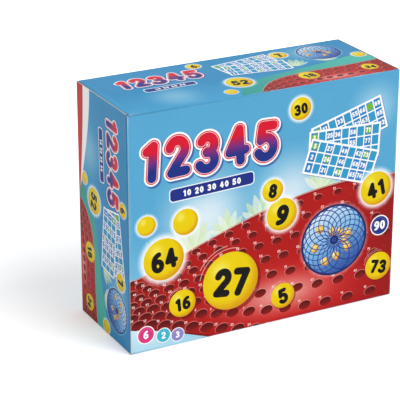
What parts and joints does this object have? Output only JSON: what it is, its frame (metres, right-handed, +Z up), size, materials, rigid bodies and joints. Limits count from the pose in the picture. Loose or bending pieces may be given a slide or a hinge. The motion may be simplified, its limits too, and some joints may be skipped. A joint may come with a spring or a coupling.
{
  "type": "boxed bingo game",
  "caption": "Printed carton with tuck-in ends, holding a bingo game: a board of ball pockets, a lattice ball cage with a crank, balls and cards.",
  "frame": {"origin": "middle of the carton's bottom", "axes": "+X along the front to its right end, +Y from the front panel to the back panel, +Z up"},
  "size_m": [0.33, 0.127, 0.272],
  "materials": {
    "printed_board": "glossy print",
    "plain_board": "uncoated grey board",
    "red_plastic": "gloss",
    "blue_plastic": "gloss",
    "yellow_plastic": "gloss",
    "card_stock": "satin print"
  },
  "bodies": {
    "carton": {"front_panel": "printed_board", "top_panel": "printed_board", "back_panel": "printed_board", "bottom_panel": "printed_board", "glue_flap": "plain_board", "ball_board": "red_plastic", "left_upright": "red_plastic", "right_upright": "red_plastic", "left_bearing_cap": "red_plastic", "right_bearing_cap": "red_plastic", "ball_01": "yellow_plastic", "ball_02": "yellow_plastic", "ball_03": "yellow_plastic", "ball_04": "yellow_plastic", "ball_05": "yellow_plastic", "ball_06": "yellow_plastic", "ball_07": "yellow_plastic", "ball_08": "yellow_plastic", "ball_09": "yellow_plastic", "ball_10": "yellow_plastic", "ball_11": "yellow_plastic", "ball_12": "yellow_plastic", "ball_13": "yellow_plastic", "ball_14": "yellow_plastic", "ball_15": "yellow_plastic", "ball_16": "yellow_plastic", "ball_17": "yellow_plastic", "ball_18": "yellow_plastic", "ball_19": "yellow_plastic", "ball_20": "yellow_plastic", "ball_21": "yellow_plastic", "ball_22": "yellow_plastic", "ball_23": "yellow_plastic", "ball_24": "yellow_plastic", "ball_25": "yellow_plastic", "ball_26": "yellow_plastic", "card_1": "card_stock", "card_2": "card_stock", "card_3": "card_stock", "card_4": "card_stock", "card_5": "card_stock", "card_6": "card_stock"},
    "left_end": {"left_end_panel": "printed_board"},
    "left_tuck": {"left_tuck_flap": "printed_board"},
    "left_top_dust": {"left_top_dust_flap": "plain_board"},
    "left_bottom_dust": {"left_bottom_dust_flap": "plain_board"},
    "right_end": {"right_end_panel": "printed_board"},
    "right_tuck": {"right_tuck_flap": "printed_board"},
    "right_top_dust": {"right_top_dust_flap": "plain_board"},
    "right_bottom_dust": {"right_bottom_dust_flap": "plain_board"},
    "cage": {"cage_left_half": "blue_plastic", "cage_right_half": "blue_plastic", "outlet_ring": "blue_plastic", "crank_arm": "red_plastic"},
    "knob": {"crank_knob": "red_plastic"}
  },
  "joints": [
    {"name": "left_end_hinge", "type": "hinge", "parent": "carton", "child": "left_end", "pos_m": [-0.165, 0.0635, 0.136], "axis": [0, 0, -1], "range_deg": [0, 180]},
    {"name": "left_tuck_hinge", "type": "hinge", "parent": "left_end", "child": "left_tuck", "pos_m": [-0.165, -0.0615, 0.136], "axis": [0, 0, -1], "range_deg": [0, 54]},
    {"name": "left_top_dust_hinge", "type": "hinge", "parent": "carton", "child": "left_top_dust", "pos_m": [-0.1635, 0, 0.272], "axis": [0, 1, 0], "range_deg": [0, 90]},
    {"name": "left_bottom_dust_hinge", "type": "hinge", "parent": "carton", "child": "left_bottom_dust", "pos_m": [-0.1635, 0, 0], "axis": [0, -1, 0], "range_deg": [0, 90]},
    {"name": "right_end_hinge", "type": "hinge", "parent": "carton", "child": "right_end", "pos_m": [0.165, 0.0635, 0.136], "axis": [0, 0, 1], "range_deg": [0, 180]},
    {"name": "right_tuck_hinge", "type": "hinge", "parent": "right_end", "child": "right_tuck", "pos_m": [0.165, -0.0615, 0.136], "axis": [0, 0, 1], "range_deg": [0, 54]},
    {"name": "right_top_dust_hinge", "type": "hinge", "parent": "carton", "child": "right_top_dust", "pos_m": [0.1635, 0, 0.272], "axis": [0, -1, 0], "range_deg": [0, 90]},
    {"name": "right_bottom_dust_hinge", "type": "hinge", "parent": "carton", "child": "right_bottom_dust", "pos_m": [0.1635, 0, 0], "axis": [0, 1, 0], "range_deg": [0, 90]},
    {"name": "cage_spin", "type": "hinge", "parent": "carton", "child": "cage", "pos_m": [0, -0.00949, 0.2015], "axis": [1, 0, 0], "continuous": true},
    {"name": "knob_spin", "type": "hinge", "parent": "cage", "child": "knob", "pos_m": [-0.0771, -0.00949, 0.1695], "axis": [1, 0, 0], "continuous": true}
  ],
  "couplings": [
    {"joint": "left_tuck_hinge", "follows": "left_end_hinge", "ratio": 0.3},
    {"joint": "left_top_dust_hinge", "follows": "left_end_hinge", "ratio": 0.5},
    {"joint": "left_bottom_dust_hinge", "follows": "left_end_hinge", "ratio": 0.5},
    {"joint": "right_tuck_hinge", "follows": "right_end_hinge", "ratio": 0.3},
    {"joint": "right_top_dust_hinge", "follows": "right_end_hinge", "ratio": 0.5},
    {"joint": "right_bottom_dust_hinge", "follows": "right_end_hinge", "ratio": 0.5}
  ]
}
